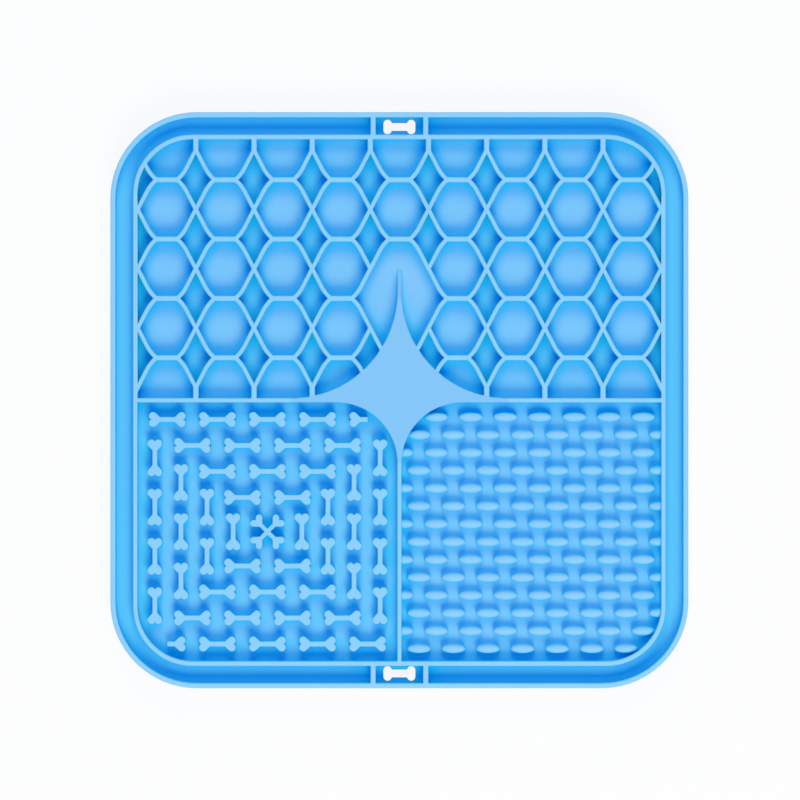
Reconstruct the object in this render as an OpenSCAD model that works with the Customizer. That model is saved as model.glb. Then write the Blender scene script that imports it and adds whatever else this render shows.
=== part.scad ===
// Lick mat: one blue silicone moulding with a honeycomb field, a field of bones, a field of
// oval nubs, a star where the fields meet, a double rim and suction cups underneath.
// Millimetres. X runs to the right, Y away from the user, +Z up; the origin is the middle of
// the plane that the suction cups stand on.

/* [Mat] */
// Width of the mat, left to right
mat_w = 200; // [190:1:220]
// Depth of the mat, front to back
mat_d = 199.4; // [190:0.2:220]
// Radius of the outer corners
corner_r = 29.9; // [26:0.1:34]
// Thickness of the web that carries everything
web_t = 1.8; // [1.2:0.1:3]
// Height of the rims, ribs, dividers and star above the web
rib_h = 5; // [4.6:0.1:7]

/* [Rims and dividers] */
// Width of the outer rim
rim_w = 1.8; // [1.4:0.1:2.4]
// Clear width of the channel between the two rims
channel_w = 5.95; // [5.6:0.05:7]
// Width of the inner rim
inner_rim_w = 1.65; // [1.3:0.05:2.4]
// Radius of the inner rim's corners, on its outer face
inner_corner_r = 20.6; // [18:0.1:24]
// Width of the dividers between the fields
divider_w = 1.5; // [1.2:0.1:2.4]

/* [Hanging slots] */
// Length of a bone-shaped slot
slot_l = 11.1; // [9:0.1:13]
// Radius of one lobe of a slot
slot_lobe_r = 1.45; // [1.2:0.05:1.6]
// Distance between the two lobes at one end of a slot
slot_lobe_gap = 2.2; // [1.8:0.1:2.4]
// Width of a slot at its waist
slot_waist = 2.8; // [2:0.1:3.2]
// Distance between the two cross ribs beside a slot
slot_rib_gap = 18.2; // [16:0.1:24]
// Width of a cross rib beside a slot
slot_rib_w = 1.85; // [1.4:0.05:2.4]

/* [Centre star] */
// Radius of the star's two upper hollows
star_upper_r = 36.7; // [30:0.1:40]
// Radius of the star's two lower hollows
star_lower_r = 21.1; // [18:0.1:23]
// Width of the star's spike
spike_w = 1.5; // [1.2:0.1:2.2]
// Length over which the spike slopes down to the web at its tip
spike_slope_l = 11; // [6:0.5:18]

/* [Honeycomb] */
// Columns of cells across the mat, an odd number
cell_columns = 9; // [7:2:11]
// Rows of bars from the inner rim down to the divider
cell_bars = 4; // [4:1:5]
// Width of a bar between two cells
bar_w = 1.75; // [1.4:0.05:2.2]
// Width of a cell's slanting side
side_w = 1.5; // [1.2:0.05:2]
// Width of the stubs that join the honeycomb to the rim and the divider
stub_w = 1.9; // [1.4:0.05:2.4]
// Length of those stubs
stub_l = 3.7; // [3:0.1:5]

/* [Bones] */
// Length of a bone
bone_l = 12.7; // [11.5:0.1:13.4]
// Radius of one knob of a bone
knob_r = 1.4; // [1.2:0.05:1.5]
// Distance between the two knobs at one end of a bone
knob_gap = 2.35; // [2:0.05:2.5]
// Width of a bone's shaft
shaft_w = 1.7; // [1.3:0.1:2.2]
// Height of the bones above the web
bone_h = 4.3; // [3:0.1:5]
// Rows of bones on each side of the crossed bones
bone_rows = 4; // [3:1:4]
// Reach of the crossed bones from their middle
crossed_reach = 6; // [5.4:0.1:6.4]
// Width of a lobe of the crossed bones
crossed_lobe_w = 2.3; // [1.8:0.1:2.6]
// Width of the shafts of the crossed bones
crossed_shaft_w = 1.45; // [1.2:0.05:2]

/* [Oval nubs] */
// Length of an oval nub
oval_l = 8.3; // [7:0.1:9]
// Width of an oval nub
oval_w = 3.15; // [2.6:0.05:3.4]
// Radius of the round ends of an oval nub
oval_end_r = 0.85; // [0.7:0.05:1]
// Height of the oval nubs above the web
oval_h = 3.7; // [2.6:0.1:4.2]
// Rows of oval nubs
oval_rows = 14; // [10:1:15]

/* [Suction cups] */
// Diameter of a suction cup at its lip
cup_d = 18; // [14:0.5:22]
// Height of a suction cup
cup_h = 3; // [2.4:0.1:4]
// Diameter of the foot that joins a cup to the web
cup_foot_d = 10; // [8:0.5:12]
// Thickness of the middle of a cup
cup_wall = 1.1; // [0.8:0.1:1.5]
// Width of the flat lip that a cup stands on
cup_lip_w = 0.7; // [0.5:0.1:1]
// Suction cups in a row and rows of them
cups_across = 5; // [3:1:6]

/* [Hidden] */
$fn = 64;

// Levels
web_z = cup_h;
top_z = web_z + web_t;

// How far a cutting shape runs past what it cuts
overrun = rim_w;

// Middle of the channel at the back, where a slot is cut
channel_y = mat_d / 2 - rim_w - channel_w / 2;

// Outer faces of the inner rim, and the clear space inside it
inner_rim_out_w = mat_w - 2 * (rim_w + channel_w);
inner_rim_out_d = mat_d - 2 * (rim_w + channel_w);
inside_w = inner_rim_out_w - 2 * inner_rim_w;
inside_d = inner_rim_out_d - 2 * inner_rim_w;
inside_r = inner_corner_r - inner_rim_w;

// Width and depth of each lower field, beside the dividers
field_w = (inside_w - divider_w) / 2;
field_d = (inside_d - divider_w) / 2;

// Star: arms run out to where its round sides meet the dividers
star_side_arm = spike_w / 2 + star_upper_r;
star_low_arm = divider_w / 2 + star_lower_r;

// Honeycomb: columns share the width, rows share the depth that the stubs leave
cell_pitch_x = inside_w / cell_columns;
cell_pitch_y = (field_d - 2 * stub_l) / cell_bars;
middle_column = (cell_columns + 1) / 2;
// The bar of the middle column that gives way to the star's pocket, counted from the rim
open_bar = 2;
// Place of a cell's knee and of the end of its bar, in shares of half a pitch
knee_x_share = 0.678;
knee_y_share = 0.395;
bar_end_share = 0.354;
// Steps that draw the arc of a cell's side
arc_steps = 10;

// Spike: its tip lies level with the second row of junctions above the pocket
spike_tip_y = inside_d / 2 - stub_l - open_bar * cell_pitch_y;

// Bones: rows stand at even steps between two shares of half the field
bones_x = -(divider_w + field_w) / 2;
bones_y = -(divider_w + field_d) / 2;
first_row_share = 0.265;
last_row_share = 0.868;
bone_pitch_x_share = 0.386;
bone_pitch_y_share = 0.381;
// Where a bone's shaft starts to widen, in shares of the way to its knobs
flare_share = 0.52;
// Where a crossed bone's shaft meets its two lobes, in shares of the way to their tips
bend_share = 0.6;

// Ovals: the grid has half a column and half a row to spare
oval_columns_share = 7.5;
oval_spare_rows_share = 0.5;
oval_pitch_x = field_w / oval_columns_share;
oval_pitch_y = field_d / (oval_rows + oval_spare_rows_share);
// How far the first row lies from the divider, in shares of a row's step
oval_first_row_share = 0.82;
// Radius of the arch over a nub's width and over its length, from its own sizes
arch_share = 0.54;
long_arch_share = 1.05;
oval_arch_r = arch_share * oval_w;
oval_long_arch_r = long_arch_share * oval_l;

// Suction cups: evenly spread over the web, with half a step to spare
cup_spare_share = 0.5;
cup_pitch_x = mat_w / (cups_across + cup_spare_share);
cup_pitch_y = mat_d / (cups_across + cup_spare_share);

mat_colour = "#7fc6fb";

// Height of row n of the junctions of the honeycomb, counted from the inner rim
function junction_y(n) = inside_d / 2 - stub_l - n * cell_pitch_y;

// Distance of row n of bones from the middle of a field whose half size is given
function bone_row(n, half) =
    half * (first_row_share + (last_row_share - first_row_share) * (n - 1) / (bone_rows - 1));

// A rectangle with round corners, centred
module rounded_rect(w, d, r) {
    square([w - 2 * r, d], center = true);
    square([w, d - 2 * r], center = true);
    for (x = [-1, 1], y = [-1, 1])
        translate([x * (w / 2 - r), y * (d / 2 - r)])
            circle(r = r);
}

module mat_outline() {
    rounded_rect(mat_w, mat_d, corner_r);
}

module inside_outline() {
    rounded_rect(inside_w, inside_d, inside_r);
}

// Stands a flat shape on the web, at the height given
module on_web(h) {
    color(mat_colour)
        translate([0, 0, top_z])
            linear_extrude(height = h)
                children();
}

// Two ends of two round lobes each, joined by a waist
module slot_outline() {
    lobe_x = slot_l / 2 - slot_lobe_r;
    square([2 * lobe_x, slot_waist], center = true);
    for (x = [-lobe_x, lobe_x]) {
        translate([x, 0])
            square([2 * slot_lobe_r, slot_lobe_gap], center = true);
        for (y = [-slot_lobe_gap / 2, slot_lobe_gap / 2])
            translate([x, y])
                circle(r = slot_lobe_r);
    }
}

module base_web() {
    color(mat_colour)
        translate([0, 0, web_z])
            linear_extrude(height = web_t)
                difference() {
                    mat_outline();
                    for (y = [-channel_y, channel_y])
                        translate([0, y])
                            slot_outline();
                }
}

// One shallow cup, solid in the middle, that stands on a flat lip
module suction_cup() {
    lip_r = cup_d / 2;
    foot_r = cup_foot_d / 2;
    rotate_extrude()
        polygon([
            [0, cup_h],
            [foot_r, cup_h],
            [foot_r, cup_h - cup_wall / 2],
            [lip_r, cup_lip_w / 2],
            [lip_r, 0],
            [lip_r - cup_lip_w, 0],
            [foot_r - cup_lip_w, cup_h - cup_wall],
            [0, cup_h - cup_wall]
        ]);
}

module suction_cups() {
    color(mat_colour)
        for (i = [1 : cups_across], j = [1 : cups_across])
            translate([
                (i - (cups_across + 1) / 2) * cup_pitch_x,
                (j - (cups_across + 1) / 2) * cup_pitch_y,
                0
            ])
                suction_cup();
}

module outer_rim() {
    on_web(rib_h)
        difference() {
            mat_outline();
            rounded_rect(mat_w - 2 * rim_w, mat_d - 2 * rim_w, corner_r - rim_w);
        }
}

module inner_rim() {
    on_web(rib_h)
        difference() {
            rounded_rect(inner_rim_out_w, inner_rim_out_d, inner_corner_r);
            inside_outline();
        }
}

// A rib across the channel beside a slot; each argument is -1 or 1
module slot_rib(side, end) {
    on_web(rib_h)
        translate([side * slot_rib_gap / 2, end * channel_y])
            square([slot_rib_w, channel_w], center = true);
}

module side_divider(side) {
    length = inside_w / 2 - star_side_arm;
    on_web(rib_h)
        translate([side * (star_side_arm + length / 2), 0])
            square([length, divider_w], center = true);
}

module front_divider() {
    length = inside_d / 2 - star_low_arm;
    on_web(rib_h)
        translate([0, -star_low_arm - length / 2])
            square([divider_w, length], center = true);
}

// Fills the corner between two arms with a round hollow; x and y are half widths of the arms
module star_corner(x, y, r) {
    difference() {
        square([x + r, y + r]);
        translate([x + r, y + r])
            circle(r = r, $fn = 128);
    }
}

module star_outline() {
    square([2 * star_side_arm, divider_w], center = true);
    translate([-spike_w / 2, 0])
        square([spike_w, spike_tip_y]);
    for (side = [0, 1])
        mirror([side, 0]) {
            star_corner(spike_w / 2, divider_w / 2, star_upper_r);
            mirror([0, 1])
                star_corner(divider_w / 2, divider_w / 2, star_lower_r);
        }
}

// Everything above the slope of the spike
module spike_cut() {
    rise = rib_h * overrun / spike_slope_l;
    translate([-spike_w, 0, top_z])
        rotate([90, 0, 90])
            linear_extrude(height = 2 * spike_w)
                polygon([
                    [spike_tip_y - spike_slope_l - overrun, rib_h + rise],
                    [spike_tip_y + overrun, -rise],
                    [spike_tip_y + overrun, rib_h + rise]
                ]);
}

module centre_star() {
    color(mat_colour)
        difference() {
            on_web(rib_h)
                star_outline();
            spike_cut();
        }
}

// A quarter of the outline of a bar and its slanting sides, from the notch at the bar's end
// round the side to the bar's long edge. The side leaves the bar on an arc and runs straight
// from the knee to the junction.
function quarter_bar() =
    let (
        junction = [cell_pitch_x / 2, cell_pitch_y / 2],
        bar_end = [bar_end_share * junction.x, 0],
        knee = [knee_x_share * junction.x, knee_y_share * junction.y],
        run = junction - knee,
        chord = bar_end - knee,
        lean = atan2(run.y, run.x),
        arc_r = (chord * chord) / (2 * abs(cross(run, chord)) / norm(run)),
        centre = knee + arc_r * [-sin(lean), cos(lean)],
        outer_r = arc_r + side_w / 2,
        inner_r = arc_r - side_w / 2,
        to_knee = lean - 90,
        to_notch = -asin(centre.y / outer_r),
        to_bar = -asin(min(1, (centre.y - bar_w / 2) / inner_r)),
        end_up = side_w / 2 / cos(lean)
    )
    concat(
        [for (k = [0 : arc_steps]) arc_point(centre, outer_r, to_notch, to_knee, k)],
        [junction - [0, end_up], junction + [0, end_up]],
        [for (k = [0 : arc_steps]) arc_point(centre, inner_r, to_knee, to_bar, k)]
    );

// Point k of the steps on an arc between two directions
function arc_point(centre, r, from, to, k) =
    let (a = from + (to - from) * k / arc_steps)
    centre + r * [cos(a), sin(a)];

function flipped(points, x, y) = [for (p = points) [x * p.x, y * p.y]];

// A bar with the four sides that leave its two ends
module cell_bar() {
    there = quarter_bar();
    back = [for (i = [len(there) - 1 : -1 : 1]) there[i]];
    polygon(concat(there, flipped(back, -1, 1), flipped(there, -1, -1), flipped(back, 1, -1)));
}

// One column of the honeycomb, cut at the junctions it shares with its neighbours
module honeycomb_column(i) {
    bars = [for (b = [0 : cell_bars - 1]) if (i != middle_column || b != open_bar) b];
    inner_sides = [if (i > 1) -1, if (i < cell_columns) 1];
    stub = [stub_w / 2, stub_l + side_w / 2];
    on_web(rib_h)
        difference() {
            intersection() {
                translate([(i - middle_column) * cell_pitch_x, 0]) {
                    for (b = bars)
                        translate([0, junction_y(b) - cell_pitch_y / 2])
                            cell_bar();
                    for (side = inner_sides, y = [(divider_w + stub.y) / 2, (inside_d - stub.y) / 2])
                        translate([side * (cell_pitch_x - stub.x) / 2, y])
                            square(stub, center = true);
                }
                inside_outline();
            }
            star_outline();
        }
}

// A bone lying along X: two ends of two knobs each, on a shaft that widens towards them
module bone_outline() {
    knob_x = bone_l / 2 - knob_r;
    knob_y = knob_gap / 2;
    slant = knob_r * sin(45);
    square([2 * knob_x, shaft_w], center = true);
    for (side = [0, 1])
        mirror([side, 0]) {
            polygon([
                [flare_share * knob_x, -shaft_w / 2],
                [knob_x - slant, -knob_y - slant],
                [knob_x, -knob_y],
                [knob_x, knob_y],
                [knob_x - slant, knob_y + slant],
                [flare_share * knob_x, shaft_w / 2]
            ]);
            for (y = [-knob_y, knob_y])
                translate([knob_x, y])
                    circle(r = knob_r);
        }
}

// The left half (side = -1) or right half (side = 1) of a bone
module half_bone(side) {
    intersection() {
        bone_outline();
        translate([side * bone_l / 2, 0])
            square([bone_l, bone_l], center = true);
    }
}

// Rows of bones before (end = -1) or behind (end = 1) the middle. The outermost row has half
// a bone where the star or the corner of the rim comes in.
module bone_rows_across(end) {
    pitch = bone_pitch_x_share * field_w / 2;
    for (n = [1 : bone_rows], k = [0 : n])
        translate([bones_x + (k - n / 2) * pitch, bones_y + end * bone_row(n, field_d / 2)])
            if (n == bone_rows && k == (end > 0 ? n : 0))
                half_bone(-end);
            else
                bone_outline();
}

// Columns of upright bones to the left (side = -1) or right (side = 1) of the middle
module bone_columns(side) {
    pitch = bone_pitch_y_share * field_d / 2;
    for (n = [1 : bone_rows], k = [1 : n])
        translate([bones_x + side * bone_row(n, field_w / 2), bones_y + (k - (n + 1) / 2) * pitch])
            rotate(90)
                bone_outline();
}

// Two short bones crossed at the middle; their lobes point along X and Y
module crossed_outline() {
    tip = crossed_reach - crossed_lobe_w / 2;
    bend = bend_share * tip;
    for (turn = [0 : 90 : 270])
        rotate(turn) {
            rotate(45)
                translate([0, -crossed_shaft_w / 2])
                    square([bend * sqrt(2), crossed_shaft_w]);
            translate([bend, bend])
                circle(d = crossed_lobe_w);
            translate([bend, bend - crossed_lobe_w / 2])
                square([tip - bend, crossed_lobe_w]);
            translate([bend - crossed_lobe_w / 2, bend])
                square([crossed_lobe_w, tip - bend]);
            translate([tip, bend])
                circle(d = crossed_lobe_w);
            translate([bend, tip])
                circle(d = crossed_lobe_w);
        }
}

// The clear floor of a lower field: left (side = -1) or right (side = 1)
module lower_field(side) {
    difference() {
        intersection() {
            inside_outline();
            translate([side * (divider_w + field_w) / 2, bones_y])
                square([field_w, field_d], center = true);
        }
        star_outline();
    }
}

module bones() {
    on_web(bone_h)
        intersection() {
            union()
                children();
            lower_field(-1);
        }
}

// An oval of two long arcs with round ends
module oval_outline() {
    end_x = oval_l / 2 - oval_end_r;
    half_w = oval_w / 2;
    drop = (end_x * end_x - (half_w - oval_end_r) * (half_w - oval_end_r))
        / (2 * (half_w - oval_end_r));
    long_r = half_w + drop;
    meet_x = end_x * long_r / (long_r - oval_end_r);
    intersection() {
        translate([0, -drop])
            circle(r = long_r, $fn = 128);
        translate([0, drop])
            circle(r = long_r, $fn = 128);
        square([2 * meet_x, oval_w + overrun], center = true);
    }
    for (x = [-end_x, end_x])
        translate([x, 0])
            circle(r = oval_end_r, $fn = 32);
}

// An upright wall of the length given, standing along X, with an arched top
module arch(length, width, r) {
    rotate([90, 0, 90])
        translate([0, 0, -length / 2])
            linear_extrude(height = length) {
                translate([-width / 2, 0])
                    square([width, oval_h - r]);
                translate([0, oval_h - r])
                    circle(r = r);
            }
}

module oval_nub() {
    intersection() {
        linear_extrude(height = oval_h)
            oval_outline();
        arch(oval_l + overrun, oval_w + overrun, oval_arch_r);
        long_arch();
    }
}

// The gentle fall of a nub's ridge towards its two ends
module long_arch() {
    rotate([90, 0, 0])
        translate([0, oval_h - oval_long_arch_r, -oval_w])
            linear_extrude(height = 2 * oval_w)
                circle(r = oval_long_arch_r, $fn = 128);
}

// True where a nub's middle stands clear of the star and of the rim's round corner
function oval_fits(p) =
    let (
        star = [star_low_arm, -star_low_arm],
        rim = [inside_w / 2 - inside_r, inside_r - inside_d / 2],
        slack = oval_l / 8,
        by_star = p.x < star.x && p.y > star.y && norm(p - star) > star_lower_r + slack,
        by_rim = p.x > rim.x && p.y < rim.y && norm(p - rim) > inside_r + slack
    )
    !by_star && !by_rim;

// Every other row is moved by half a column; nubs at the edges of the field are cut by it
module oval_row(i) {
    y = -divider_w / 2 - (i - 1 + oval_first_row_share) * oval_pitch_y;
    first = i % 2 == 1 ? 0 : 0.5;
    columns = [for (x = [first : oval_columns_share]) x * oval_pitch_x + divider_w / 2];
    color(mat_colour)
        translate([0, 0, top_z])
            intersection() {
                for (x = columns)
                    if (oval_fits([x, y]))
                        translate([x, y])
                            oval_nub();
                linear_extrude(height = rib_h)
                    lower_field(1);
            }
}

base_web();
suction_cups();
outer_rim();
inner_rim();
slot_rib(-1, 1);  // slot_rib_back_left
slot_rib(1, 1);  // slot_rib_back_right
slot_rib(-1, -1);  // slot_rib_front_left
slot_rib(1, -1);  // slot_rib_front_right
side_divider(-1);  // left_divider
side_divider(1);  // right_divider
front_divider();
centre_star();
for (i = [1 : cell_columns])
    honeycomb_column(i);
bones() bone_rows_across(1);  // bones_back
bones() bone_rows_across(-1);  // bones_front
bones() bone_columns(-1);  // bones_left
bones() bone_columns(1);  // bones_right
bones() translate([bones_x, bones_y]) crossed_outline();  // crossed_bones
for (i = [1 : oval_rows])
    oval_row(i);
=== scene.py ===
import bpy
import bmesh
import math
import numpy as np
from mathutils import Matrix, Vector
from mathutils.bvhtree import BVHTree


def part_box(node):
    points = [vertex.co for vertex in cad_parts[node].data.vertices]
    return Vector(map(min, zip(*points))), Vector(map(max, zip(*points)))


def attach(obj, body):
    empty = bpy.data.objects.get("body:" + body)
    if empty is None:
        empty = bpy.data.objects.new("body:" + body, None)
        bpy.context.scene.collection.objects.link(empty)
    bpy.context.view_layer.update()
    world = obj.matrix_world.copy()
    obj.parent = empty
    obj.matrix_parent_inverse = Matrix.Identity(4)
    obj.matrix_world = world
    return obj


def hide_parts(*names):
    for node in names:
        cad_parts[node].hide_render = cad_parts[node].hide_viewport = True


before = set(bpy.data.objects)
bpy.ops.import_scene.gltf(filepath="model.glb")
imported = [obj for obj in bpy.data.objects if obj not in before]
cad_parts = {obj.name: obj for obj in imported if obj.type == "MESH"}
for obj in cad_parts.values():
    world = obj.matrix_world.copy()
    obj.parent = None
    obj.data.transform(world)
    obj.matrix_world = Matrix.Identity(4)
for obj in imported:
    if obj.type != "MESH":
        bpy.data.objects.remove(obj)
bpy.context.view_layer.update()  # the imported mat: every node is a closed solid, in metres
mm = 0.001
hair = 0.01 * mm  # closer than this is the same place
up = Vector((0, 0, 1))
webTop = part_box("base_web")[1].z
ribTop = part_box("outer_rim")[1].z
scene = bpy.context.scene


# Camera: straight above the mat with a long lens, as in the photograph
photoView = {
    "distance": 1.5,              # from the lens to the tops of the rims
    "shownWidth": 0.2768,         # what the photograph spans at the tops of the rims
    "imageSide": 800,             # pixels
    "matMiddle": (399.4, 400.2),  # pixel of the photograph where the middle of the mat lies
    "sensor": 36,                 # mm
    "farthest": 20,               # the lens sees this far, in metres
}


def makeCamera():
    p = photoView
    pixel = p["shownWidth"] / p["imageSide"]
    x = (p["imageSide"] / 2 - p["matMiddle"][0]) * pixel
    y = (p["matMiddle"][1] - p["imageSide"] / 2) * pixel
    bpy.ops.object.camera_add(location=(x, y, ribTop + p["distance"]), rotation=(0, 0, 0))
    camera = bpy.context.object
    camera.name = "photoCamera"
    camera.data.sensor_width = p["sensor"]
    camera.data.lens = p["sensor"] * p["distance"] / p["shownWidth"]
    camera.data.clip_end = p["farthest"]
    scene.camera = camera
    print("camera: %.0f mm lens, %.2f m above the rims" % (camera.data.lens, p["distance"]))


makeCamera()


# Materials
def toLinear(hexColour):  # sRGB hex to the linear RGBA that the sockets take
    values = [int(hexColour[i:i + 2], 16) / 255 for i in (1, 3, 5)]
    return [v / 12.92 if v <= 0.04045 else ((v + 0.055) / 1.055) ** 2.4 for v in values] + [1]


def addNode(tree, kind, settings=None, sockets=None):  # a socket takes a value, or (node, output) as a link
    node = tree.nodes.new(kind)
    for name, value in (settings or {}).items():
        setattr(node, name, value)
    for name, value in (sockets or {}).items():
        if isinstance(value, tuple) and isinstance(value[0], bpy.types.Node):
            tree.links.new(value[0].outputs[value[1]], node.inputs[name])
        else:
            node.inputs[name].default_value = value
    return node


siliconeValues = {
    "thick": "#92d2fe",       # the web and the whole star, where the silicone is thick
    "thin": "#9cddff",        # painted light: tops of ribs, bones and nubs are painted paler, standing in for the light that passes through them
    "deep": "#00d0ff",        # painted shade: narrow recesses are painted a deep blue, standing in for the dim light there, which has passed through silicone
    "reach": 12 * mm,         # how far the walls of a recess shade it
    "openSky": (0.45, 0.7),   # shares of open sky between which the painted recess shade turns to the open colour
    "skyRays": 4,             # looks for open sky from each point
    "flowMarks": 14 * mm,     # faint marks where the silicone flowed in the mould
    "flowRange": (0.3, 0.7),  # part of their noise that shows
    "roughness": (0.46, 0.54),
    "grain": 0.35 * mm,       # grain of the eroded mould, drawn coarser than the real 0.1 mm so that it shows
    "grainDepth": 0.02 * mm,
    "grainStrength": 0.15,
    "ior": 1.41,
    "specular": 0.25,
    "gloss": "#7cc8ff",       # tint of the soft gloss, as the surface of silicone lets light in a little
}


def mouldedSilicone(name, paintedTopColour):
    # platinum silicone rubber, compression moulded in an eroded steel mould: satin, soft to the eye
    v = siliconeValues
    material = bpy.data.materials.new(name)
    material.use_nodes = True
    tree = material.node_tree
    tree.nodes.clear()
    place = addNode(tree, "ShaderNodeTexCoord")
    flow = addNode(tree, "ShaderNodeTexNoise", None,
                   {"Vector": (place, "Object"), "Scale": 1 / v["flowMarks"], "Detail": 3.0})
    grain = addNode(tree, "ShaderNodeTexNoise", None,
                    {"Vector": (place, "Object"), "Scale": 1 / v["grain"], "Detail": 2.0})
    height = addNode(tree, "ShaderNodeSeparateXYZ", None, {"Vector": (place, "Object")})
    # painted light: from the web up to the rib tops the colour turns to the paler top colour
    rise = addNode(tree, "ShaderNodeMapRange", None,
                   {"Value": (height, "Z"), "From Min": webTop, "From Max": ribTop})
    pigmentAndTopGlow = addNode(tree, "ShaderNodeMix", {"data_type": "RGBA"},
                          {0: (rise, "Result"), 6: toLinear(v["thick"]), 7: toLinear(paintedTopColour)})
    # painted shade: ambient occlusion finds the recesses, and there the colour turns to the deep blue of the
    # painted shade
    recess = addNode(tree, "ShaderNodeAmbientOcclusion", {"samples": v["skyRays"]}, {"Distance": v["reach"]})
    share = addNode(tree, "ShaderNodeMapRange", None,
                    {"Value": (recess, "AO"), "From Min": v["openSky"][0], "From Max": v["openSky"][1]})
    pigmentWithPaintedShade = addNode(tree, "ShaderNodeMix", {"data_type": "RGBA"},
                      {0: (share, "Result"), 6: toLinear(v["deep"]), 7: (pigmentAndTopGlow, 2)})
    rough = addNode(tree, "ShaderNodeMapRange", None,
                    {"Value": (flow, "Fac"), "From Min": v["flowRange"][0], "From Max": v["flowRange"][1],
                     "To Min": v["roughness"][0], "To Max": v["roughness"][1]})
    bump = addNode(tree, "ShaderNodeBump", None,
                   {"Height": (grain, "Fac"), "Strength": v["grainStrength"], "Distance": v["grainDepth"]})
    shader = addNode(tree, "ShaderNodeBsdfPrincipled", None,
                     {"Base Color": (pigmentWithPaintedShade, 2), "Roughness": (rough, "Result"),
                      "Normal": (bump, "Normal"), "IOR": v["ior"],
                      "Specular IOR Level": v["specular"], "Specular Tint": toLinear(v["gloss"])})
    addNode(tree, "ShaderNodeOutputMaterial", None, {"Surface": (shader, "BSDF")})
    return material


thickSilicone = mouldedSilicone("mouldedSiliconeThick", siliconeValues["thick"])
# this material paints the tops of ribs, bones and nubs paler, as painted light
siliconeWithTopGlow = mouldedSilicone("mouldedSiliconeThin", siliconeValues["thin"])
print("materials: moulded silicone, thick and thin")


# Stage: a white floor, two large soft lamps and an even sky
stage = {
    "floorSide": 6,     # metres
    "floorColour": "#fafafa",
    "shownWhite": 0.9,  # share of plain white in what the camera sees of the floor; the rest is its shade
}


def makeFloor():
    bpy.ops.mesh.primitive_plane_add(size=stage["floorSide"], location=(0, 0, 0))
    floor = bpy.context.object
    floor.name = "studioFloor"
    material = bpy.data.materials.new("whitePaperSweep")
    material.use_nodes = True
    tree = material.node_tree
    tree.nodes.clear()
    paper = addNode(tree, "ShaderNodeBsdfDiffuse", None, {"Color": toLinear(stage["floorColour"])})
    white = addNode(tree, "ShaderNodeEmission", None, {"Color": (1, 1, 1, 1), "Strength": 1.0})
    path = addNode(tree, "ShaderNodeLightPath")
    share = addNode(tree, "ShaderNodeMath", {"operation": "MULTIPLY"},
                    {0: (path, "Is Camera Ray"), 1: stage["shownWhite"]})
    both = addNode(tree, "ShaderNodeMixShader", None,
                   {0: (share, "Value"), 1: (paper, "BSDF"), 2: (white, "Emission")})
    addNode(tree, "ShaderNodeOutputMaterial", None, {"Surface": (both, "Shader")})
    floor.data.materials.append(material)


makeFloor()


lights = {
    # from: turn and rise in degrees; size and distance in metres
    # share: how bright the lamp alone shows a white sheet that lies flat
    "key": {"from": (-78, 46), "size": 0.9, "distance": 1.6, "share": 0.56, "colour": "#ffd696"},
    "back": {"from": (90, 42), "size": 0.8, "distance": 1.6, "share": 0.3, "colour": "#ffd696"},
}
sky = {
    "strength": 0.72,
    "colour": "#3cbaff",  # as much cooler as the lamps are warmer, so a white sheet stays white
}


def makeLights():
    for name, v in lights.items():
        turn, rise = (math.radians(a) for a in v["from"])
        way = Vector((math.cos(rise) * math.cos(turn), math.cos(rise) * math.sin(turn), math.sin(rise)))
        bpy.ops.object.light_add(type="AREA", location=way * v["distance"])
        lamp = bpy.context.object
        lamp.name = name + "Light"
        lamp.rotation_euler = way.to_track_quat("Z", "Y").to_euler()
        lamp.data.shape = "DISK"
        lamp.data.size = v["size"]
        lamp.data.color = toLinear(v["colour"])[:3]
        lamp.data.energy = v["share"] * (math.pi * v["distance"]) ** 2 / math.sin(rise)
    world = bpy.data.worlds.new("studio")
    world.use_nodes = True
    background = world.node_tree.nodes["Background"]
    background.inputs["Color"].default_value = toLinear(sky["colour"])
    background.inputs["Strength"].default_value = sky["strength"]
    scene.world = world


makeLights()
scene.view_settings.view_transform = "Standard"
print("stage: floor, sky and %d lamps" % len(lights))


# What the pieces share: a copy of a CAD node, its edges softened as silicone leaves the mould
def solidsTree():
    points, faces = [], []
    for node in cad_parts.values():
        first = len(points)
        points += [v.co.copy() for v in node.data.vertices]
        faces += [[first + i for i in f.vertices] for f in node.data.polygons]
    return BVHTree.FromPolygons(points, faces)


allSolids = solidsTree()
rimCorners = np.array([v.co[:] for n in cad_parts.values() for v in n.data.vertices
                       if v.co.z > ribTop - hair])


def selectNothing():
    if bpy.context.object and bpy.context.object.mode == "EDIT":
        bpy.ops.object.mode_set(mode="OBJECT")
    bpy.ops.object.select_all(action="DESELECT")


def startFrom(mesh, name):  # a new object from a mesh, in edit mode
    selectNothing()
    piece = bpy.data.objects.new(name, mesh)
    scene.collection.objects.link(piece)
    bpy.context.view_layer.objects.active = piece
    piece.select_set(True)
    bpy.ops.object.mode_set(mode="EDIT")
    return piece


softening = {
    "steps": 3,                    # extrusions that round a top edge
    "beyond": 0.1 * mm,            # how far over a top edge its neighbour is looked for
    "below": 0.02 * mm,            # and how far under it
    "looks": (0.31, 0.5, 0.67),    # where along the edge
    "onEdge": 0.08 * mm,           # a neighbour's corner this close to an edge lies on it
    "atEnd": 0.05 * mm,            # and this close to its end is the end
    "shortest": 0.02 * mm,         # edges aren't split into shorter ones than this
    "longestStep": 2.2,            # a sharp corner moves in by at most this many radii
    "leastLean": 0.2,              # flatter meetings of two edges stay where they are
    "straight": 0.97,              # walls that face the same way to this share are one wall
    "smoothAngle": math.radians(40),
}


def facesUp(face):
    return face.normal.z > 0.5


def standsUpright(face):
    return abs(face.normal.z) < 0.1


def topEdgeWall(edge):  # the wall under a top edge, or None for any other edge
    if len(edge.link_faces) != 2:
        return None
    low, high = sorted(edge.link_faces, key=lambda f: f.normal.z)
    return low if facesUp(high) and standsUpright(low) else None


def solidOver(point):  # whether a ray straight up from the point leaves a solid through its top
    place, normal, face, distance = allSolids.ray_cast(point, up)
    return place is not None and normal.z > 0


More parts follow.
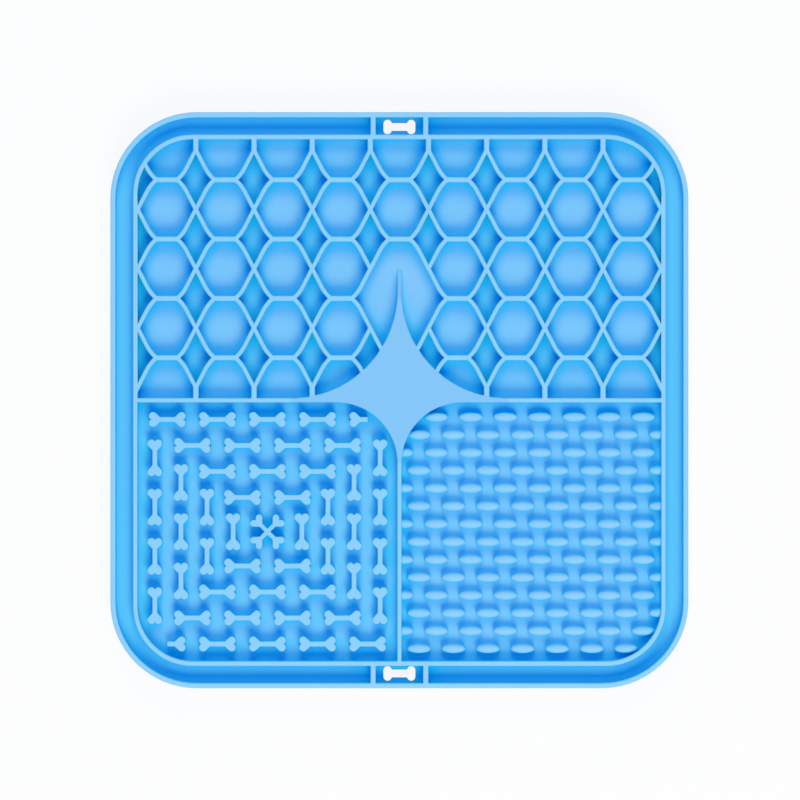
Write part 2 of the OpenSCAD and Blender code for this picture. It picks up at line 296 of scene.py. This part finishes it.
def joinsNeighbour(edge, wall, test=any):
    # whether the next solid goes on beyond the wall, or stands on its edge
    a, b = (v.co for v in edge.verts)
    outwards, down = wall.normal * softening["beyond"], up * softening["below"]
    return test(solidOver(a.lerp(b, share) + outwards - down) or solidOver(a.lerp(b, share) - outwards + down)
                for share in softening["looks"])


def splitAt(edge, places):  # corners along an edge, at the distances given from its first vertex
    start, done, length = edge.verts[0], 0, edge.calc_length()
    for place in sorted(places):
        if min(place - done, length - place) < softening["shortest"]:
            continue
        edge, corner = bmesh.utils.edge_split(edge, start, (place - done) / (length - done))
        edge = next(e for e in corner.link_edges if e.other_vert(corner) != start)
        start, done = corner, place


def splitAtNeighbours(bm, radius):
    # a long top edge that neighbours meet halfway gets corners where they start, and a radius to each side
    for edge in [e for e in bm.edges if topEdgeWall(e)]:
        a, b = (np.array(v.co) for v in edge.verts)
        length = np.linalg.norm(b - a)
        if length < 2 * radius or min(a[2], b[2]) < ribTop - hair \
                or joinsNeighbour(edge, topEdgeWall(edge), all):
            continue
        way = (b - a) / length
        along = (rimCorners - a) @ way
        off = np.linalg.norm(rimCorners - a - np.outer(along, way), axis=1)
        end = softening["atEnd"]
        onEdge = (off < softening["onEdge"]) & (along > end) & (along < length - end)
        corners = sorted(set(along[onEdge].round(5)))
        splitAt(edge, [place for corner in corners for place in (corner - radius, corner, corner + radius)])


def inwardStep(vert, edges):  # how a corner moves when the free edges beside it move in by one
    ways = []
    for edge in edges:
        wall = topEdgeWall(edge)
        ways.append((-wall.normal.xy.normalized(), 0.0 if joinsNeighbour(edge, wall) else 1.0))
    (first, a), (second, b) = ways
    if a == b:
        step = (first + second) * a / (1 + first.dot(second))
        return step.normalized() * min(step.length, softening["longestStep"])
    free, kept = (first, second) if a else (second, first)
    along = Vector((-kept.y, kept.x))
    lean = along.dot(free)
    return along / lean if abs(lean) > softening["leastLean"] else Vector((0, 0))


def straightenJoins(piece):  # a narrow wall that meets a neighbour's curve becomes one face without corners
    bm = bmesh.from_edit_mesh(piece.data)
    bm.normal_update()
    upright = set()
    for vert in bm.verts:
        edges = [e for e in vert.link_edges if topEdgeWall(e)]
        walls = [topEdgeWall(e) for e in edges if joinsNeighbour(e, topEdgeWall(e))]
        if len(walls) == 2 and walls[0].normal.dot(walls[1].normal) > softening["straight"]:
            upright.update(e for e in vert.link_edges if e in walls[0].edges and e in walls[1].edges)
    bmesh.ops.dissolve_edges(bm, edges=list(upright), use_verts=True)
    bmesh.update_edit_mesh(piece.data)


def quarterTurns(steps):  # the angles that divide a quarter circle
    return [math.radians(90 * i / steps) for i in range(steps + 1)]


def softenTops(piece, radius):
    # the top sinks by the radius and comes up again in a few extrusions, each a little further in
    bm = bmesh.from_edit_mesh(piece.data)
    bm.normal_update()
    splitAtNeighbours(bm, radius)
    bm.normal_update()
    inward = bm.verts.layers.float_vector.new("inward")
    for vert in bm.verts:
        edges = [e for e in vert.link_edges if topEdgeWall(e)]
        if len(edges) == 2:
            vert[inward] = inwardStep(vert, edges).to_3d()
    for face in bm.faces:
        if facesUp(face):
            face.select = True
    bmesh.update_edit_mesh(piece.data)
    bpy.ops.transform.translate(value=(0, 0, -radius))
    turns = quarterTurns(softening["steps"])
    for before, now in zip(turns, turns[1:]):
        rise, shift = radius * (math.sin(now) - math.sin(before)), radius * (math.cos(before) - math.cos(now))
        bpy.ops.mesh.extrude_region_move(TRANSFORM_OT_translate={"value": (0, 0, rise)})
        bm = bmesh.from_edit_mesh(piece.data)
        inward = bm.verts.layers.float_vector["inward"]
        for vert in bm.verts:
            if vert.select:
                vert.co += Vector(vert[inward]) * shift
        bmesh.update_edit_mesh(piece.data)
    bm.verts.layers.float_vector.remove(inward)
    bmesh.update_edit_mesh(piece.data)


def finishPiece(piece, node):
    selectNothing()
    piece.select_set(True)
    bpy.context.view_layer.objects.active = piece
    bpy.ops.object.shade_smooth_by_angle(angle=softening["smoothAngle"])
    bpy.ops.object.modifier_add(type="WEIGHTED_NORMAL")
    piece.modifiers[-1].keep_sharp = True
    bpy.ops.object.modifier_apply(modifier=piece.modifiers[-1].name)
    piece.data.materials.clear()
    piece.data.materials.append(thickSilicone if node == "centre_star" else siliconeWithTopGlow)
    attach(piece, "root")
    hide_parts(node)


copying = {
    "weld": 0.001 * mm,         # loose corners of a CAD copy are merged within this distance
    "flat": math.radians(0.5),  # and faces that agree to this angle become one
}


def copyOfNode(node, name):
    piece = startFrom(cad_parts[node].data.copy(), name)
    bpy.ops.mesh.select_all(action="SELECT")
    bpy.ops.mesh.remove_doubles(threshold=copying["weld"])
    bpy.ops.mesh.dissolve_limited(angle_limit=copying["flat"])
    bpy.ops.mesh.select_all(action="DESELECT")
    return piece


def camel(node):  # honeycomb_column_1 becomes honeycombColumn1
    words = node.split("_")
    return words[0] + "".join(w.capitalize() for w in words[1:])


# Ribs, rims, star and bones: each is its node with the top edges softened
softRadius = {  # by a word in the node's name
    "rim": 0.45 * mm,
    "centre_star": 0.4 * mm,
    "divider": 0.4 * mm,
    "slot_rib": 0.4 * mm,
    "honeycomb": 0.4 * mm,
    "bones": 0.2 * mm,
}


def makeRibs():
    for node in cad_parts:
        radius = next((r for part, r in softRadius.items() if part in node), None)
        if radius is None:
            continue
        piece = copyOfNode(node, camel(node))
        if "honeycomb" in node:
            straightenJoins(piece)
        softenTops(piece, radius)
        finishPiece(piece, node)
    print("ribs, rims, star and bones: tops softened")


makeRibs()


# Web: the mouths of its two slots and its lower outer edge are rounded
web = {
    "slotHalf": 6 * mm,  # the slots lie within this distance of the middle line
    "slotIn": 2 * mm,    # and at least this far in from the outer edge
    "slotRadius": 0.35 * mm,
    "lowerRadius": 0.6 * mm,
    "lowerSegments": 3,
}


def selectEdges(piece, wanted):  # selects the edges that the function wants, and no others
    bpy.ops.mesh.select_all(action="DESELECT")
    bm = bmesh.from_edit_mesh(piece.data)
    bm.normal_update()
    for edge in bm.edges:
        if wanted(edge):
            edge.select = True
    bmesh.update_edit_mesh(piece.data)


def makeWeb():
    piece = copyOfNode("base_web", "baseWeb")
    softenTops(piece, web["slotRadius"])
    webBottom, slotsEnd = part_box("base_web")[0].z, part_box("outer_rim")[1].y - web["slotIn"]

    def lowerOuterEdge(edge):
        low, high = sorted(edge.link_faces, key=lambda f: f.normal.z)
        middle = (edge.verts[0].co + edge.verts[1].co) / 2
        return middle.z < webBottom + hair and low.normal.z < -0.9 and standsUpright(high) \
            and (abs(middle.x) > web["slotHalf"] or abs(middle.y) > slotsEnd)
    selectEdges(piece, lowerOuterEdge)
    bpy.ops.mesh.bevel(offset=web["lowerRadius"], segments=web["lowerSegments"], affect="EDGES",
                       clamp_overlap=False)
    finishPiece(piece, "base_web")
    print("web: slots and lower edge rounded")


makeWeb()


# Oval nubs: one nub is modelled and copied along the rows of the lower right field
nub = {
    "length": 8.3 * mm,
    "width": 3.15 * mm,
    "height": 3.7 * mm,
    "dome": 1.2 * mm,        # the rounded part of the height
    "flare": 0.25 * mm,      # how far its foot runs out on the web
    "corners": 28,
    "rings": 5,
}
nubField = {
    "left": 0.75 * mm, "right": 90.6 * mm, "back": -0.75 * mm, "front": -90.3 * mm,
    "starRadius": 21.1 * mm,  # the star's hollow side rounds one corner of the field
    "rimRadius": 18.95 * mm,  # the inner rim rounds the corner opposite
    "cornerSegments": 32,
    "below": 1 * mm,          # the room that cuts the nubs starts this far under the web's top
    "tall": 8 * mm,
    "steps": (7.5, 14.5),     # spacings of the nubs across and along the field
    "rows": 14,
    "columns": 8,
    "firstRow": 0.82,         # how far the first row lies from the back, in steps
    "overlap": 1 / 8,         # a nub may reach into a round corner by this share of its length
}


def addRing(rise, factor):  # one more ring of a nub or a cup, from the face that is selected
    bpy.ops.mesh.extrude_region_move(TRANSFORM_OT_translate={"value": (0, 0, rise)})
    bpy.ops.transform.resize(value=(factor[0], factor[1], 1), center_override=(0, 0, 0))


def modelNub():
    n = nub
    selectNothing()
    bpy.ops.mesh.primitive_circle_add(vertices=n["corners"], radius=1, fill_type="NGON", location=(0, 0, 0))
    piece = bpy.context.object
    bpy.ops.object.mode_set(mode="EDIT")
    bpy.ops.mesh.select_all(action="SELECT")
    long, wide = n["length"] / 2, n["width"] / 2
    bpy.ops.transform.resize(value=(long + n["flare"], wide + n["flare"], 1), center_override=(0, 0, 0))
    addRing(n["flare"], (long / (long + n["flare"]), wide / (wide + n["flare"])))
    addRing(n["height"] - n["dome"] - n["flare"], (1, 1))
    turns = quarterTurns(n["rings"])
    for before, now in zip(turns[:-2], turns[1:-1]):
        share = math.cos(now) / math.cos(before)
        addRing(n["dome"] * (math.sin(now) - math.sin(before)), (share, share))
    addRing(n["dome"] * (1 - math.sin(turns[-2])), (0.5, 0.5))
    bpy.ops.mesh.merge(type="CENTER")  # the last ring closes at the top
    bpy.ops.mesh.select_all(action="SELECT")
    bpy.ops.mesh.normals_make_consistent(inside=False)
    bpy.ops.transform.translate(value=(0, 0, webTop))
    bpy.ops.object.mode_set(mode="OBJECT")
    return piece


def fieldPrism():  # the room of the lower right field, which cuts the nubs at its edges
    f = nubField
    selectNothing()
    bpy.ops.mesh.primitive_plane_add(size=1, location=(0, 0, 0))
    piece = bpy.context.object
    bpy.ops.object.mode_set(mode="EDIT")
    bpy.ops.mesh.select_all(action="SELECT")
    bpy.ops.transform.resize(value=(f["right"] - f["left"], f["back"] - f["front"], 1))
    bpy.ops.transform.translate(value=((f["right"] + f["left"]) / 2, (f["back"] + f["front"]) / 2,
                                       webTop - f["below"]))
    byStar, byRim = Vector((f["left"], f["back"])), Vector((f["right"], f["front"]))
    for corner, radius in ((byStar, f["starRadius"]), (byRim, f["rimRadius"])):
        bm = bmesh.from_edit_mesh(piece.data)
        for vert in bm.verts:
            vert.select = (vert.co.xy - corner).length < hair
        bm.select_flush_mode()
        bmesh.update_edit_mesh(piece.data)
        bpy.ops.mesh.bevel(offset=radius, segments=f["cornerSegments"], affect="VERTICES", clamp_overlap=False)
    bpy.ops.mesh.select_all(action="SELECT")
    bpy.ops.mesh.extrude_region_move(TRANSFORM_OT_translate={"value": (0, 0, f["tall"])})
    bpy.ops.mesh.select_all(action="SELECT")
    bpy.ops.mesh.normals_make_consistent(inside=False)
    bpy.ops.object.mode_set(mode="OBJECT")
    return piece


def nubPlaces(row):  # every other row starts half a step in; the two round corners have none
    f = nubField
    stepX, stepY = (f["right"] - f["left"]) / f["steps"][0], (f["back"] - f["front"]) / f["steps"][1]
    starMiddle = Vector((f["left"] + f["starRadius"], f["back"] - f["starRadius"]))
    rimMiddle = Vector((f["right"] - f["rimRadius"], f["front"] + f["rimRadius"]))
    slack = nub["length"] * f["overlap"]
    y = f["back"] - (row - 1 + f["firstRow"]) * stepY
    for k in range(f["columns"]):
        place = Vector((f["left"] + (k + (0 if row % 2 else 0.5)) * stepX, y))
        toStar, toRim = place - starMiddle, place - rimMiddle
        inStar = toStar.x < 0 < toStar.y and toStar.length > f["starRadius"] + slack
        inRim = toRim.y < 0 < toRim.x and toRim.length > f["rimRadius"] + slack
        if not inStar and not inRim:
            yield place


def joinCopies(model, name, places):  # one piece from a copy of the model at each place
    selectNothing()
    for place in places:
        copy = bpy.data.objects.new(name, model.data.copy())
        scene.collection.objects.link(copy)
        copy.data.transform(Matrix.Translation(place.to_3d()))
        copy.select_set(True)
        bpy.context.view_layer.objects.active = copy
    bpy.ops.object.join()
    piece = bpy.context.object
    piece.name = name
    return piece


def makeNubRows():
    oneNub, room = modelNub(), fieldPrism()
    for row in range(1, nubField["rows"] + 1):
        piece = joinCopies(oneNub, "ovalRow%d" % row, nubPlaces(row))
        bpy.ops.object.modifier_add(type="BOOLEAN")
        cut = piece.modifiers[-1]
        cut.operation = "INTERSECT"
        cut.solver = "EXACT"
        cut.object = room
        bpy.ops.object.modifier_apply(modifier=cut.name)
        finishPiece(piece, "oval_row_%d" % row)
    bpy.data.objects.remove(oneNub)
    bpy.data.objects.remove(room)
    print("nubs: %d rows" % nubField["rows"])


makeNubRows()


# Suction cups: one cup is modelled and copied under the web
cup = {
    "across": 5,
    "radius": 9 * mm,
    "height": 3 * mm,
    "foot": 5 * mm,  # radius of the stem that joins it to the web
    "corners": 48,
    # radius and height, down the flank to the flat lip and then up the hollow to its middle
    "profile": [(5 * mm, 2.45 * mm), (6.2 * mm, 2.05 * mm), (8.5 * mm, 0.6 * mm), (9 * mm, 0.3 * mm),
                (9 * mm, 0.08 * mm), (8.92 * mm, 0), (8.3 * mm, 0), (8.1 * mm, 0.1 * mm),
                (6.2 * mm, 1.25 * mm), (4.6 * mm, 1.75 * mm), (2.5 * mm, 1.9 * mm)],
}


def modelCup():
    c = cup
    selectNothing()
    bpy.ops.mesh.primitive_circle_add(vertices=c["corners"], radius=c["foot"], fill_type="NGON",
                                      location=(0, 0, 0))
    piece = bpy.context.object
    bpy.ops.object.mode_set(mode="EDIT")
    bpy.ops.mesh.select_all(action="SELECT")
    bpy.ops.transform.translate(value=(0, 0, c["height"]))
    radius, z = c["foot"], c["height"]
    for nextRadius, nextZ in c["profile"]:
        addRing(nextZ - z, (nextRadius / radius, nextRadius / radius))
        radius, z = nextRadius, nextZ
    bpy.ops.mesh.select_all(action="SELECT")
    bpy.ops.mesh.normals_make_consistent(inside=False)
    bpy.ops.object.mode_set(mode="OBJECT")
    return piece


def makeCups():
    oneCup, across = modelCup(), cup["across"]
    low, high = (corner.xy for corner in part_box("suction_cups"))
    first = low + Vector((cup["radius"], cup["radius"]))
    step = (high - low - 2 * Vector((cup["radius"], cup["radius"]))) / (across - 1)
    places = [first + Vector((i % across * step.x, i // across * step.y)) for i in range(across ** 2)]
    piece = joinCopies(oneCup, "suctionCups", places)
    bpy.data.objects.remove(oneCup)
    finishPiece(piece, "suction_cups")
    print("cups: %d" % len(places))


makeCups()
